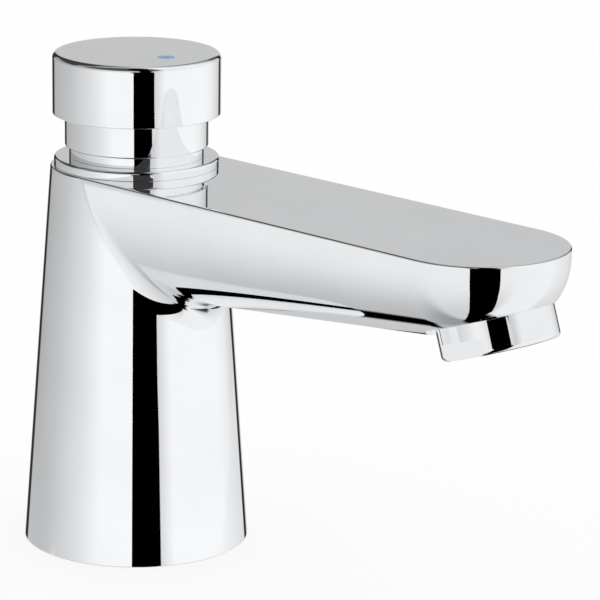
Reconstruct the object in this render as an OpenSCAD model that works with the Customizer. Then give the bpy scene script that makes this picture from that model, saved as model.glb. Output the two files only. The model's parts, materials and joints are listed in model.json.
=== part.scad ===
// Push timed pillar tap: one-piece column and spout, push cap on a guide sleeve, timing cartridge,
// aerator, threaded shank and deck fixings. Millimetres, +Z up. The origin is in the deck plane on
// the column's axis, and +X runs along the spout.

/* [Column] */
// Diameter of the column at the deck
base_d = 54.3; // [48:0.1:66]
// Diameter of the column at its flat top
column_top_d = 41.1; // [39:0.1:48]
// Height of the flat top above the deck
flat_top_z = 92.3; // [86:0.1:130]
// Width of the rim that stands on the deck
base_rim_w = 5.2; // [3:0.1:8]
// Depth of the groove for the base gasket
gasket_t = 2.5; // [1.5:0.1:4]
// Width of the base gasket
gasket_w = 4.4; // [3:0.1:5]

/* [Spout] */
// Width of the spout between its upright sides
spout_w = 41; // [38:0.1:46]
// Distance from the column's axis to the centre of the round tip
spout_reach = 108.3; // [95:0.1:160]
// Depth of the spout on the column's axis
spout_root_depth = 32.1; // [28:0.1:38]
// Depth of the spout at the centre of its tip
spout_tip_depth = 20.9; // [19:0.1:26]
// Height of the spout's upright side above its round
spout_side_h = 2; // [1:0.1:4]
// Fullness of the spout's round at the column, where 2 is an ellipse and less is leaner
root_fullness = 2; // [1.5:0.05:2.4]
// Fullness of the spout's round at the tip
tip_fullness = 2.2; // [1.7:0.05:2.6]
// Width of the water channel in the spout
channel_w = 14; // [10:0.5:16]
// Height of the water channel in the spout
channel_h = 9; // [5:0.5:9.5]

/* [Outlet] */
// Lean of the aerator away from the column, in degrees
outlet_tilt = 18.6; // [5:0.1:22]
// Distance from the tip's centre out to the centre of the aerator's seat
seat_out = 5.3; // [2:0.1:6]
// Depth of the centre of the aerator's seat below the flat top
seat_drop = 15; // [13:0.1:18]
// Outer diameter of the aerator's collar
aerator_d = 26.6; // [25:0.1:28]
// Visible height of the aerator's collar
aerator_h = 7.5; // [5:0.1:12]
// Outer diameter of the aerator's thread
aerator_thread_d = 24; // [22:0.1:24.5]
// Depth of the threaded socket above the seat
socket_depth = 9; // [7.5:0.1:10]
// Width across the collar's two wrench flats
aerator_flat_w = 23.6; // [23.2:0.1:25]
// Height of the wrench flats
aerator_flat_h = 3.8; // [2:0.1:4.5]

/* [Push cap] */
// Diameter of the push cap
cap_d = 40; // [38:0.1:44]
// Height of the push cap
cap_h = 14.6; // [13:0.1:20]
// Wall thickness of the push cap
cap_wall = 2.6; // [2:0.1:4]
// Roof thickness of the push cap
cap_roof_t = 2.4; // [1.5:0.1:3]
// Radius of the cap's rounded top edge
cap_edge_r = 1.1; // [0.3:0.1:1.4]
// Depth that the cap can be pushed
travel = 6.5; // [4:0.1:7]
// Diameter of the cold index
index_d = 3.9; // [3:0.1:5]
// Distance of the cold index from the axis
index_out = 10; // [6:0.1:12]

/* [Ring and sleeve] */
// Distance of the cover ring's edge inside the column's top edge
ring_inset = 0.85; // [0.3:0.05:2]
// Height of the cover ring
ring_h = 2.2; // [1.5:0.1:4]
// Height of the sleeve's narrow foot
sleeve_foot_h = 2.6; // [1.5:0.1:5]
// Height of sleeve seen between its step and the cap at rest
sleeve_show_h = 7.7; // [7.5:0.1:10]
// Step between the sleeve and its narrow foot
sleeve_step = 1; // [0.5:0.1:2]
// Height of sleeve that stands inside the cap at rest
sleeve_lap = 4.2; // [3:0.1:4.8]

/* [Cartridge] */
// Depth that the sleeve screws into the column
bonnet_engage = 14.3; // [12:0.1:16]
// Length of the cartridge housing below the sleeve
housing_low_h = 22; // [21:0.1:26]
// Thickness of the sleeve's inner roof
roof_t = 8; // [7.5:0.1:9]
// Diameter of the stem in its bush
stem_d = 8; // [6:0.1:8.5]
// Height of the timing piston
piston_h = 6; // [5:0.1:7]
// Diameter of the valve seat's opening
seat_hole_d = 12; // [10:0.1:12.5]
// Wire diameter of the return spring
spring_wire_d = 1.3; // [1:0.1:1.6]
// Number of turns of the return spring
spring_turns = 6; // [5:1:8]

/* [Shank and fixings] */
// Outside diameter of the shank's thread
shank_d = 20.955; // [18:0.005:21]
// Diameter of the shank's bore
shank_bore_d = 14.4; // [10:0.1:14.6]
// Length of the shank below the deck plane
shank_below = 50; // [46:0.5:70]
// Length of the inlet tail below its run-out groove
tail_len = 14; // [12:0.5:16]
// Thickness of the deck between the base and the gasket
deck_t = 20; // [5:0.5:22]
// Diameter of the deck gasket
deck_gasket_d = 46; // [40:0.5:52]
// Width across the flats of the backnut
nut_flats = 30; // [27:0.5:34]
// Height of the backnut
nut_h = 9; // [6:0.5:11]

/* [Fits] */
// Radial clearance of a screwed joint
thread_clear = 0.05; // [0.02:0.01:0.1]
// Radial clearance of a piece that slides in a guide
slide_clear = 0.05; // [0.03:0.01:0.1]
// Radial clearance of a fixed piece in its pocket
seat_clear = 0.05; // [0.02:0.01:0.1]
// Clearance between the cap and the sleeve, and at the end of the stroke
cap_clear = 0.3; // [0.3:0.05:0.5]

/* [Hidden] */
$fn = 96;
// overlap of joined solids, spare depth of a cut, and a depth that clears any bore
eps = 0.01;
over = 1;
far = 40;

// column
base_r = base_d / 2;
column_top_r = column_top_d / 2;

// push cap, ring and sleeve
bonnet_step = 1.1;
recess_depth = 5;
recess_wall = 3.1;
cap_r = cap_d / 2;
sleeve_r = cap_r - cap_wall - cap_clear;
foot_r = sleeve_r - sleeve_step;
ring_r = column_top_r - ring_inset;
bonnet_r = foot_r - bonnet_step;
ring_top = flat_top_z + ring_h;
step_z = ring_top + sleeve_foot_h;
cap_z = step_z + sleeve_show_h;
cap_top = cap_z + cap_h;
cap_roof_z = cap_top - cap_roof_t;
sleeve_top = cap_z + sleeve_lap;
roof_top = sleeve_top - recess_depth;
roof_z = roof_top - roof_t;
recess_r = sleeve_r - recess_wall;
cap_round = 0.5;

// cap insert: its hub stops just above the sleeve's roof when the cap is down
end_gap = 0.5;
insert_gap = 0.8;
insert_full_t = 3;
hub_gap = 1;
hub_r = 7;
stem_thread_step = 1;
stem_top_gap = 0.8;
insert_z = roof_top + travel + end_gap;
insert_r = recess_r - insert_gap;
insert_t = min(insert_full_t, cap_roof_z - insert_z - hub_gap);
stem_r = stem_d / 2;
stem_thread_r = stem_r - stem_thread_step;
stem_top = cap_roof_z - stem_top_gap;
index_r = index_d / 2;
index_t = 0.6;

// cartridge housing, clamped between the sleeve's end and a shoulder in the column
housing_step = 1;
skirt_t = 2.5;
neck_wall = 2;
housing_gap = 0.2;
floor_t = 6;
shoulder_gap = 3;
gallery_depth = 2.5;
gallery_rise = 7;
gallery_drop = 5;
bonnet_z = flat_top_z - bonnet_engage;
housing_r = bonnet_r - housing_step;
neck_r = bonnet_r - skirt_t;
cylinder_r = neck_r - neck_wall;
housing_z = bonnet_z - housing_low_h;
housing_top = roof_z - housing_gap;
housing_floor = housing_z + floor_t;
gallery_r = housing_r + gallery_depth;
gallery_z = housing_z + gallery_rise;
gallery_h = housing_low_h - gallery_rise - gallery_drop;
port_r = 3;
port_z = gallery_z + gallery_h / 2;
groove_h = 2.4;
groove_depth = 2;
low_groove_rise = 2;
high_groove_drop = 3.8;
low_groove_z = housing_z + low_groove_rise;
high_groove_z = bonnet_z - high_groove_drop;
o_ring_r = 0.97;
o_ring_shift = 0.02;

// valve: a rubber washer under the seat, pulled up by the spring
seat_hole_r = seat_hole_d / 2;
seat_wall = 3;
seat_r = seat_hole_r + seat_wall;
seat_lip = 1;
seat_lip_w = 1.5;
throat_gap = 0.6;
seat_gap = 0.02;
seat_t = 3;
valve_z = housing_z - seat_lip - seat_gap;
washer_t = 3;
disc_t = 2.5;
disc_rim_w = 0.8;
disc_rim_h = 1.2;
disc_join = 0.5;
valve_nut_h = 3.5;
valve_nut_flats = 8;
valve_lap = 2.5;
valve_r = seat_hole_r + valve_lap;
rod_r = 3;
rod_thread_r = 2.5;
rod_end = 0.5;
chamber_spare = 2.5;
rod_z = valve_z - washer_t - disc_t - valve_nut_h - rod_end;
chamber_r = housing_r - shoulder_gap;
chamber_z = rod_z - travel - chamber_spare;

// piston and spring
piston_drop = 4;
piston_gap = 0.3;
lip_rise = 2;
lip_depth = 1.9;
spring_inset = 2.8;
piston_top = roof_z - piston_drop;
piston_z = piston_top - piston_h;
piston_r = cylinder_r - piston_gap;
lip_z = piston_z + lip_rise;
lip_h = 2.6;
lip_r = piston_r - lip_depth;
lip_groove_r = 0.6;
clip_t = 0.8;
clip_r = 5;
clip_depth = 0.6;
spring_r = cylinder_r - spring_inset;
spring_z = housing_floor;
spring_h = piston_z - housing_floor;

// stem guide in the sleeve's roof
bush_wall = 2.4;
bush_flange_w = 2;
bush_r = stem_r + bush_wall;
bush_flange_r = bush_r + bush_flange_w;
bush_flange_t = 1.5;
bush_h = 3;
gland_ring_r = 1.15;
gland_z = roof_z + bush_h;
gland_h = 2.4;
gland_step = 1.5;
gland_top_r = bush_r + gland_step;
gland_washer_t = 1;
circlip_t = 1;
circlip_w = 2.2;
circlip_bite = 0.8;
circlip_open = 40;
circlip_z = gland_z + gland_h + gland_washer_t;
timing_r = 1.4;
timing_slot_w = 0.6;
timing_slot_h = 0.9;
timing_out = (gland_top_r + circlip_bite + neck_r) / 2;

// spout: the round's depth falls evenly from the column's axis to the tip
root_round = spout_root_depth - spout_side_h;
tip_round = spout_tip_depth - spout_side_h;
round_fall = (root_round - tip_round) / spout_reach;
section_steps = 14;
tip_steps = 24;
strip_half = 0.8;

// outlet frame: at the centre of the seat, leaning by outlet_tilt
seat_x = spout_reach + seat_out;
seat_z = flat_top_z - seat_drop;
spot_margin = 2.2;
spot_r = aerator_d / 2 + spot_margin;
thread_r = aerator_thread_d / 2;
thread_wall = 1.1;
aerator_lip_w = 0.8;
aerator_lip_t = 0.8;
aerator_bore_r = thread_r - thread_wall;
aerator_lip_r = aerator_bore_r - aerator_lip_w;
aerator_gasket_t = 1;
aerator_gasket_w = 2.5;
aerator_gasket_gap = 0.1;
aerator_gasket_r = thread_r - aerator_gasket_gap;
grid_t = 1.5;
grid_z = -aerator_h + aerator_lip_t;
grid_hole_r = 0.95;
grid_pitch = 2.7;
insert_wall = 1.5;
insert_top_t = 2;
insert_hole_r = 0.9;
insert_pitch = 3.4;
insert_body_z = grid_z + grid_t;
regulator_h = 3;
regulator_gap = 0.4;
regulator_rim_w = 2.6;
regulator_hub_r = 3.5;
regulator_floor_t = 1;
regulator_hole_r = 1;
regulator_hole_out = 5.6;
regulator_holes = 8;
insert_spare = 0.3;
regulator_r = aerator_bore_r - regulator_gap;
insert_body_h = socket_depth - aerator_gasket_t - regulator_h - insert_body_z - insert_spare;
regulator_z = insert_body_z + insert_body_h;

// water channel: from the gallery around the cartridge to the top of the aerator's socket
channel_x0 = housing_r;
channel_lift = 1;
channel_drop = 1.3;
channel_z0 = gallery_z + gallery_h / 2 + channel_lift;
channel_x1 = seat_x - socket_depth * sin(outlet_tilt);
channel_z1 = seat_z + socket_depth * cos(outlet_tilt) - channel_drop;
channel_rise = atan2(channel_z1 - channel_z0, channel_x1 - channel_x0);
channel_len = norm([channel_x1 - channel_x0, channel_z1 - channel_z0]);

// shank, base and deck fixings
shank_r = shank_d / 2;
shank_bore_r = shank_bore_d / 2;
collar_gap = 0.5;
collar_room_w = 1.4;
collar_z = gasket_t + collar_gap;
collar_h = 5;
collar_flats = 27;
collar_r = collar_flats / sqrt(3);
base_roof = collar_z + collar_h;
collar_room_r = collar_r + collar_room_w;
gasket_out_r = base_r - base_rim_w;
gasket_in_r = gasket_out_r - gasket_w;
shank_top_gap = 2;
shank_top = chamber_z - shank_top_gap;
shank_seal_r = 1.1;
seal_room_h = 2.3;
deck_gasket_t = 3;
deck_washer_t = 2;
deck_washer_inset = 1;
nut_flange_w = 3.5;
nut_flange_t = 2;
nut_z = -deck_t - deck_gasket_t - deck_washer_t - nut_h;
fixing_clear = 0.25;
tail_groove_h = 2;
tail_groove_depth = 1;
strainer_rim_w = 1.2;
strainer_gap = 0.5;
strainer_wall = 0.8;
strainer_hole_r = 0.9;
strainer_hole_z = 4;
strainer_pitch = 3;
strainer_rim_r = shank_bore_r + strainer_rim_w;
strainer_rim_h = 2;
strainer_r = shank_bore_r - strainer_gap;
strainer_h = 16;

chrome = [0.86, 0.87, 0.88];
brass = [0.80, 0.66, 0.36];
steel = [0.72, 0.73, 0.75];
rubber = [0.10, 0.10, 0.11];
acetal = [0.90, 0.90, 0.87];
cold_blue = [0.05, 0.25, 0.75];
grey_plastic = [0.55, 0.57, 0.60];

module tube(r_out, r_in, z, h) {
  translate([0, 0, z]) difference() {
    cylinder(r = r_out, h = h);
    translate([0, 0, -over]) cylinder(r = r_in, h = h + 2 * over);
  }
}

module bore(r, z, h) {
  translate([0, 0, z]) cylinder(r = r, h = h);
}

module o_ring(r_mid, r_wire, z) {
  translate([0, 0, z]) rotate_extrude() translate([r_mid, 0]) circle(r = r_wire, $fn = 32);
}

module hexagon(flats, z, h) {
  translate([0, 0, z]) cylinder(r = flats / sqrt(3), h = h, $fn = 6);
}

module at_outlet() {
  translate([seat_x, 0, seat_z]) rotate([0, -outlet_tilt, 0]) children();
}

// Half-width and share of the depth on the round, at an angle from its edge to its bottom
function round_half(turn, fullness) = spout_w / 2 * pow(cos(turn), 2 / fullness);
function round_share(turn, fullness) = pow(sin(turn), 2 / fullness);

// One level of the spout's skin: from the column's axis around the tip and back
function spout_level(side, root_half, root_share, tip_half, tip_share) = concat(
  [[0, -root_half, flat_top_z - side - root_round * root_share]],
  [for (k = [0 : tip_steps])
    let (turn = -90 + 180 * k / tip_steps, out = tip_half * cos(turn))
    [spout_reach + out, tip_half * sin(turn), flat_top_z - side - tip_share * (tip_round - round_fall * out)]],
  [[0, root_half, flat_top_z - side - root_round * root_share]]);

// Levels of the round, from its edge down to a narrow flat strip
function round_level(turn) = spout_level(spout_side_h,
  max(round_half(turn, root_fullness), strip_half), round_share(turn, root_fullness),
  max(round_half(turn, tip_fullness), strip_half), round_share(turn, tip_fullness));

module spout_solid() {
  top = spout_level(0, spout_w / 2, 0, spout_w / 2, 0);
  levels = concat([top], [for (i = [0 : section_steps]) round_level(90 * i / section_steps)]);
  loop = len(top);
  last = len(levels) - 1;
  skin = [for (i = [0 : last - 1], j = [0 : loop - 1], half = [0, 1])
    let (a = i * loop + j, b = i * loop + (j + 1) % loop)
    half == 0 ? [a, b, b + loop] : [a, b + loop, a + loop]];
  lid = [for (j = [loop - 1 : -1 : 0]) j];
  floor = [for (j = [0 : loop - 1]) last * loop + j];
  polyhedron(points = [for (level = levels) each level], faces = concat(skin, [lid, floor]));
}

module body() {
  color(chrome) difference() {
    union() {
      cylinder(r1 = base_r, r2 = column_top_r, h = flat_top_z);
      spout_solid();
    }
    // base: gasket groove, room for the shank's collar, seal and thread
    bore(gasket_out_r, -over, gasket_t + over);
    bore(collar_room_r, -over, base_roof + over);
    bore(shank_r + 2 * shank_seal_r + seat_clear, 0, base_roof + seal_room_h);
    bore(shank_r + thread_clear, 0, chamber_z + over);
    // valve chamber, cartridge bore and sleeve thread
    bore(chamber_r, chamber_z, far);
    bore(housing_r + seat_clear, housing_z, far);
    bore(gallery_r, gallery_z, gallery_h);
    bore(bonnet_r + thread_clear, bonnet_z, far);
    // water channel along the spout
    translate([channel_x0, -channel_w / 2, channel_z0]) rotate([0, -channel_rise, 0])
      translate([0, 0, -channel_h / 2]) cube([channel_len, channel_w, channel_h]);
    // aerator seat and socket
    at_outlet() {
      bore(spot_r, -far, far);
      bore(thread_r + thread_clear, -over, socket_depth + over);
    }
  }
}

module cover_ring() {
  color(chrome) tube(ring_r, bonnet_r + cap_clear, flat_top_z, ring_h);
}

module guide_sleeve() {
  color(chrome) difference() {
    union() {
      bore(bonnet_r, bonnet_z, ring_top - bonnet_z + eps);
      bore(foot_r, ring_top, sleeve_foot_h + eps);
      bore(sleeve_r, step_z, sleeve_top - step_z);
    }
    bore(neck_r + seat_clear, bonnet_z - over, roof_z - bonnet_z + over);
    bore(recess_r, roof_top, far);
    bore(bush_r + seat_clear, roof_z - over, roof_t + 2 * over);
    bore(gland_top_r + seat_clear, gland_z + gland_h, far);
    bore(gland_top_r + circlip_bite + seat_clear, circlip_z - seat_clear, circlip_t + 2 * seat_clear);
    translate([-timing_out, 0, 0]) bore(timing_r + thread_clear, roof_z - over, roof_t + 2 * over);
  }
}

// Half outline of the cap's outside, with rounded edges
module cap_outline() {
  translate([0, cap_z + cap_round]) square([cap_r, cap_h - cap_round - cap_edge_r]);
  translate([0, cap_z]) square([cap_r - cap_round, cap_h - cap_edge_r]);
  translate([cap_r - cap_round, cap_z + cap_round]) circle(r = cap_round);
  translate([0, cap_z + cap_round]) square([cap_r - cap_edge_r, cap_h - cap_round]);
  translate([cap_r - cap_edge_r, cap_top - cap_edge_r]) circle(r = cap_edge_r);
}

module push_cap() {
  color(chrome) difference() {
    rotate_extrude() cap_outline();
    bore(sleeve_r + cap_clear, cap_z - over, cap_roof_z - cap_z + over);
    translate([index_out, 0, 0]) bore(index_r + seat_clear, cap_top - index_t, index_t + over);
  }
}

module cold_index() {
  color(cold_blue) translate([index_out, 0, 0]) bore(index_r, cap_top - index_t, index_t);
}

module cap_insert() {
  color(grey_plastic) difference() {
    union() {
      bore(insert_r, cap_roof_z - insert_t, insert_t);
      bore(hub_r, insert_z, cap_roof_z - insert_z - hub_gap);
    }
    bore(stem_thread_r + thread_clear, insert_z - over, stem_top - insert_z + over + thread_clear);
  }
}

module stem() {
  color(steel) difference() {
    union() {
      bore(stem_thread_r, insert_z - eps, stem_top - insert_z + eps);
      bore(stem_r, piston_top, insert_z - piston_top);
      bore(rod_r, valve_z, piston_top - valve_z + eps);
      bore(rod_thread_r, rod_z, valve_z - rod_z + eps);
    }
    tube(rod_r + over, rod_r - clip_depth, piston_z - clip_t - seat_clear, clip_t + seat_clear);
  }
}

module piston() {
  color(acetal) difference() {
    bore(piston_r, piston_z, piston_h);
    bore(rod_r + seat_clear, piston_z - over, piston_h + 2 * over);
    tube(piston_r + over, lip_r, lip_z, lip_h);
  }
}

module lip_seal() {
  color(rubber) rotate_extrude() difference() {
    translate([lip_r + seat_clear, lip_z + seat_clear])
      square([cylinder_r - slide_clear - lip_r - seat_clear, lip_h - 2 * seat_clear]);
    translate([(lip_r + cylinder_r) / 2, lip_z]) circle(r = lip_groove_r, $fn = 32);
  }
}

module piston_clip() {
  color(steel) difference() {
    tube(clip_r, rod_r - clip_depth + seat_clear, piston_z - clip_t, clip_t);
    translate([0, -rod_r / 2, piston_z - clip_t - over]) cube([2 * clip_r, rod_r, clip_t + 2 * over]);
  }
}

module valve_washer() {
  color(rubber) tube(valve_r, rod_thread_r + seat_clear, valve_z - washer_t, washer_t);
}

module valve_disc() {
  color(brass) difference() {
    union() {
      bore(valve_r, valve_z - washer_t - disc_t, disc_t);
      tube(valve_r + disc_rim_w, valve_r + seat_clear, valve_z - washer_t - disc_t, disc_t + disc_rim_h);
      tube(valve_r + disc_join, valve_r - disc_join, valve_z - washer_t - disc_t, disc_t);
    }
    bore(rod_thread_r + seat_clear, valve_z - washer_t - disc_t - over, disc_t + 2 * over);
  }
}

module valve_nut() {
  color(brass) difference() {
    hexagon(valve_nut_flats, valve_z - washer_t - disc_t - valve_nut_h, valve_nut_h);
    bore(rod_thread_r + thread_clear, rod_z, rod_end + valve_nut_h + over);
  }
}

module stem_bush() {
  color(acetal) difference() {
    union() {
      bore(bush_flange_r, roof_z - bush_flange_t, bush_flange_t);
      bore(bush_r, roof_z - eps, bush_h + eps);
    }
    bore(stem_r + slide_clear, roof_z - bush_flange_t - over, bush_h + bush_flange_t + 2 * over);
  }
}

module stem_o_ring() {
  color(rubber) o_ring(stem_r + slide_clear + gland_ring_r, gland_ring_r, gland_z + gland_h / 2);
}

module gland_washer() {
  color(acetal) tube(gland_top_r, stem_r + cap_clear, gland_z + gland_h, gland_washer_t);
}

module circlip() {
  color(steel) translate([0, 0, circlip_z]) rotate([0, 0, circlip_open / 2])
    rotate_extrude(angle = 360 - circlip_open)
      translate([gland_top_r + circlip_bite - circlip_w, 0]) square([circlip_w, circlip_t]);
}

module timing_screw() {
  color(brass) translate([-timing_out, 0, 0]) difference() {
    bore(timing_r, roof_z, roof_t);
    translate([-timing_r - over, -timing_slot_w / 2, roof_top - timing_slot_h])
      cube([2 * timing_r + 2 * over, timing_slot_w, timing_slot_h + over]);
  }
}

module cartridge_housing() {
  color(acetal) difference() {
    union() {
      bore(housing_r, housing_z, housing_low_h);
      bore(neck_r, housing_floor, housing_top - housing_floor);
    }
    bore(cylinder_r, housing_floor, far);
    bore(seat_r + seat_clear, housing_z - over, seat_t + over);
    bore(seat_hole_r + throat_gap, housing_z, floor_t + over);
    tube(housing_r + over, housing_r - groove_depth, low_groove_z, groove_h);
    tube(housing_r + over, housing_r - groove_depth, high_groove_z, groove_h);
    for (turn = [0 : 3])
      rotate([0, 90, 90 * turn]) translate([-port_z, 0, 0]) cylinder(r = port_r, h = housing_r + over);
  }
}

module upper_o_ring() {
  color(rubber) o_ring(housing_r - groove_depth / 2 + o_ring_shift, o_ring_r, high_groove_z + groove_h / 2);
}

module lower_o_ring() {
  color(rubber) o_ring(housing_r - groove_depth / 2 + o_ring_shift, o_ring_r, low_groove_z + groove_h / 2);
}

module valve_seat() {
  color(brass) difference() {
    union() {
      bore(seat_r, housing_z, seat_t);
      bore(seat_hole_r + seat_lip_w, housing_z - seat_lip, seat_lip + eps);
    }
    bore(seat_hole_r, housing_z - seat_lip - over, seat_t + seat_lip + 2 * over);
  }
}

// One ring of points around the wire for each step along the coil
module return_spring() {
  sides = 8;
  steps = 18 * spring_turns;
  wire_r = spring_wire_d / 2;
  rise = spring_h - spring_wire_d;
  points = [for (i = [0 : steps], k = [0 : sides - 1])
    let (turn = 360 * spring_turns * i / steps,
         out = spring_r + wire_r * cos(360 * k / sides),
         z = spring_z + wire_r + rise * i / steps + wire_r * sin(360 * k / sides))
    [out * cos(turn), out * sin(turn), z]];
  faces = [for (i = [0 : steps - 1], k = [0 : sides - 1])
    let (a = i * sides + k, b = i * sides + (k + 1) % sides)
    [a, a + sides, b + sides, b]];
  first_end = [for (k = [0 : sides - 1]) k];
  last_end = [for (k = [sides - 1 : -1 : 0]) steps * sides + k];
  color(steel) polyhedron(points = points, faces = concat(faces, [first_end, last_end]));
}

module aerator_housing() {
  color(chrome) at_outlet() difference() {
    union() {
      bore(aerator_d / 2, -aerator_h, aerator_h);
      bore(thread_r, -eps, socket_depth - aerator_gasket_t + eps);
    }
    bore(aerator_bore_r, grid_z, far);
    bore(aerator_lip_r, -aerator_h - over, aerator_lip_t + 2 * over);
    for (side = [-1, 1])
      translate([-aerator_d, side * (aerator_flat_w / 2 + aerator_d) - aerator_d, -aerator_h - over])
        cube([2 * aerator_d, 2 * aerator_d, aerator_flat_h + over]);
  }
}

// Holes in rings around the middle, six more in each ring
module ring_holes(rings, pitch, r, z, h) {
  bore(r, z, h);
  for (ring = [1 : rings])
    for (i = [0 : 6 * ring - 1])
      rotate([0, 0, 60 * i / ring]) translate([ring * pitch, 0, 0]) bore(r, z, h);
}

module aerator_grid() {
  color(grey_plastic) at_outlet() difference() {
    bore(aerator_bore_r - seat_clear, grid_z, grid_t);
    ring_holes(3, grid_pitch, grid_hole_r, grid_z - over, grid_t + 2 * over, $fn = 24);
  }
}

module aerator_insert() {
  color(grey_plastic) at_outlet() difference() {
    bore(aerator_bore_r - seat_clear, insert_body_z, insert_body_h);
    bore(aerator_bore_r - insert_wall, insert_body_z - over, insert_body_h - insert_top_t + over);
    ring_holes(2, insert_pitch, insert_hole_r, insert_body_z, insert_body_h + over, $fn = 24);
  }
}

module flow_regulator() {
  color(acetal) at_outlet() difference() {
    bore(regulator_r, regulator_z, regulator_h);
    tube(regulator_r - regulator_rim_w, regulator_hub_r, regulator_z + regulator_floor_t, regulator_h);
    for (i = [0 : regulator_holes - 1])
      rotate([0, 0, 360 * i / regulator_holes]) translate([regulator_hole_out, 0, 0])
        bore(regulator_hole_r, regulator_z - over, regulator_floor_t + 2 * over, $fn = 24);
  }
}

module aerator_gasket() {
  gasket_z = socket_depth - aerator_gasket_t;
  color(rubber) at_outlet()
    tube(aerator_gasket_r, aerator_gasket_r - aerator_gasket_w, gasket_z, aerator_gasket_t);
}

module inlet_shank() {
  color(brass) difference() {
    union() {
      bore(shank_r, -shank_below, shank_top + shank_below);
      hexagon(collar_flats, collar_z, collar_h);
    }
    bore(shank_bore_r, -shank_below - over, shank_top + shank_below + 2 * over);
    bore(strainer_rim_r + seat_clear, -shank_below - over, strainer_rim_h + over);
    tube(shank_r + over, shank_r - tail_groove_depth, tail_len - shank_below, tail_groove_h);
  }
}

module shank_o_ring() {
  color(rubber) o_ring(shank_r + shank_seal_r + seat_clear / 2, shank_seal_r, base_roof + seal_room_h / 2);
}

module inlet_strainer() {
  color(steel) translate([0, 0, -shank_below]) difference() {
    union() {
      bore(strainer_rim_r, 0, strainer_rim_h);
      bore(strainer_r, 0, strainer_h);
    }
    bore(strainer_r - strainer_wall, -over, strainer_h - strainer_wall + over);
    for (level = [0 : 3])
      for (turn = [0 : 5])
        translate([0, 0, strainer_hole_z + strainer_pitch * level]) rotate([0, 90, 60 * turn + 30 * level])
          cylinder(r = strainer_hole_r, h = strainer_r + over, $fn = 16);
  }
}

module base_gasket() {
  color(rubber) tube(gasket_out_r - seat_clear, gasket_in_r, 0, gasket_t);
}

module deck_gasket() {
  color(rubber) tube(deck_gasket_d / 2, shank_r + fixing_clear, -deck_t - deck_gasket_t, deck_gasket_t);
}

module deck_washer() {
  color(steel)
    tube(deck_gasket_d / 2 - deck_washer_inset, shank_r + fixing_clear, nut_z + nut_h, deck_washer_t);
}

module backnut() {
  color(brass) difference() {
    union() {
      hexagon(nut_flats, nut_z, nut_h);
      bore(nut_flats / 2 + nut_flange_w, nut_z + nut_h - nut_flange_t, nut_flange_t);
    }
    bore(shank_r + thread_clear, nut_z - over, nut_h + 2 * over);
  }
}

body();
cover_ring();
guide_sleeve();
push_cap();
cold_index();
cap_insert();
stem();
piston();
lip_seal();
piston_clip();
valve_washer();
valve_disc();
valve_nut();
stem_bush();
stem_o_ring();
gland_washer();
circlip();
timing_screw();
cartridge_housing();
upper_o_ring();
lower_o_ring();
valve_seat();
return_spring();
aerator_housing();
aerator_insert();
aerator_grid();
aerator_gasket();
flow_regulator();
inlet_shank();
shank_o_ring();
inlet_strainer();
base_gasket();
deck_gasket();
deck_washer();
backnut();
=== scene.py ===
"""Blender scene of a push timed tap.

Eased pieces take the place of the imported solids, in a soft studio and in the photograph's view.
"""

import json
import math

import bmesh
import bpy
import numpy as np
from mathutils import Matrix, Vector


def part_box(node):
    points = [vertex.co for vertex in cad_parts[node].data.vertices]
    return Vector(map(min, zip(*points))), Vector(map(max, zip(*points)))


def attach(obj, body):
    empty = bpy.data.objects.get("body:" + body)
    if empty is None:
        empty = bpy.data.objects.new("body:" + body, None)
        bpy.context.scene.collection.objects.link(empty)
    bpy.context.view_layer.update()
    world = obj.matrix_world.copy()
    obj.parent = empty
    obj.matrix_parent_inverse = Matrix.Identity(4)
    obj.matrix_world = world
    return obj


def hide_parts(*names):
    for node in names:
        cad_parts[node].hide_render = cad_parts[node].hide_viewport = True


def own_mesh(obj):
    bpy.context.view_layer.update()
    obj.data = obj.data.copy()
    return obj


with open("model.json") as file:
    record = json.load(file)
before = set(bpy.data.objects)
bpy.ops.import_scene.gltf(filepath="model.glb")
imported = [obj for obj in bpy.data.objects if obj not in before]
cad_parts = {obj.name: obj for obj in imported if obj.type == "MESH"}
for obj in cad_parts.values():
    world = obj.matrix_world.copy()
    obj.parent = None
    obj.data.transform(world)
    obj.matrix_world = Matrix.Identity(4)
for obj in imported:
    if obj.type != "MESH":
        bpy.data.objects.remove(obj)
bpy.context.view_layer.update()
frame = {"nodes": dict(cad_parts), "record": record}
MM = 0.001


def node_box(name):
    """Lowest and highest corner of a solid, in millimetres."""
    return np.array(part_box(name)) / MM


def radius_of(name):
    """Radius of a solid that is round about Z, in millimetres."""
    return node_box(name)[1][0]


def foot_of(name):
    """Height of a solid's foot, in millimetres."""
    return node_box(name)[0][2]


def top_of(name):
    """Height of a solid's top, in millimetres."""
    return node_box(name)[1][2]


def mount_radius(name):
    """Radius of one of the part's mounts, in millimetres."""
    return next(mount["dims"]["r_mm"] for mount in frame["record"]["mounts"] if mount["name"] == name)


# Sizes that the pieces repeat from the solids, in millimetres

# Clearance of seats and threads, overshoot of cuts and a length past everything
CLEAR = 0.05
OVER = 1.0
FAR = 40.0

# Column and spout: the sections' fullness is the power of their round
BASE_R = 27.15
TOP_R = 20.55
FLAT_Z = top_of("body")
HALF_W = 20.5
REACH = node_box("body")[1][0] - HALF_W
ROOT_ROUND = 30.1
TIP_ROUND = 18.9
SIDE_H = 2.0
ROOT_FULL = 2.0
TIP_FULL = 2.2
ROUND_FALL = (ROOT_ROUND - TIP_ROUND) / REACH
CONE_LEAN = math.atan((BASE_R - TOP_R) / FLAT_Z)

# Outlet: its lean and its seat under the tip, with the spot face and the threaded socket
OUTLET_TILT = math.radians(18.6)
SEAT_OUT = 5.3
SEAT_DROP = 15.0
SEAT = (REACH + SEAT_OUT, 0.0, FLAT_Z - SEAT_DROP)
SPOT_R = 15.5
OUTLET_THREAD_R = 12.0
SOCKET_DEPTH = 9.0

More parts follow.
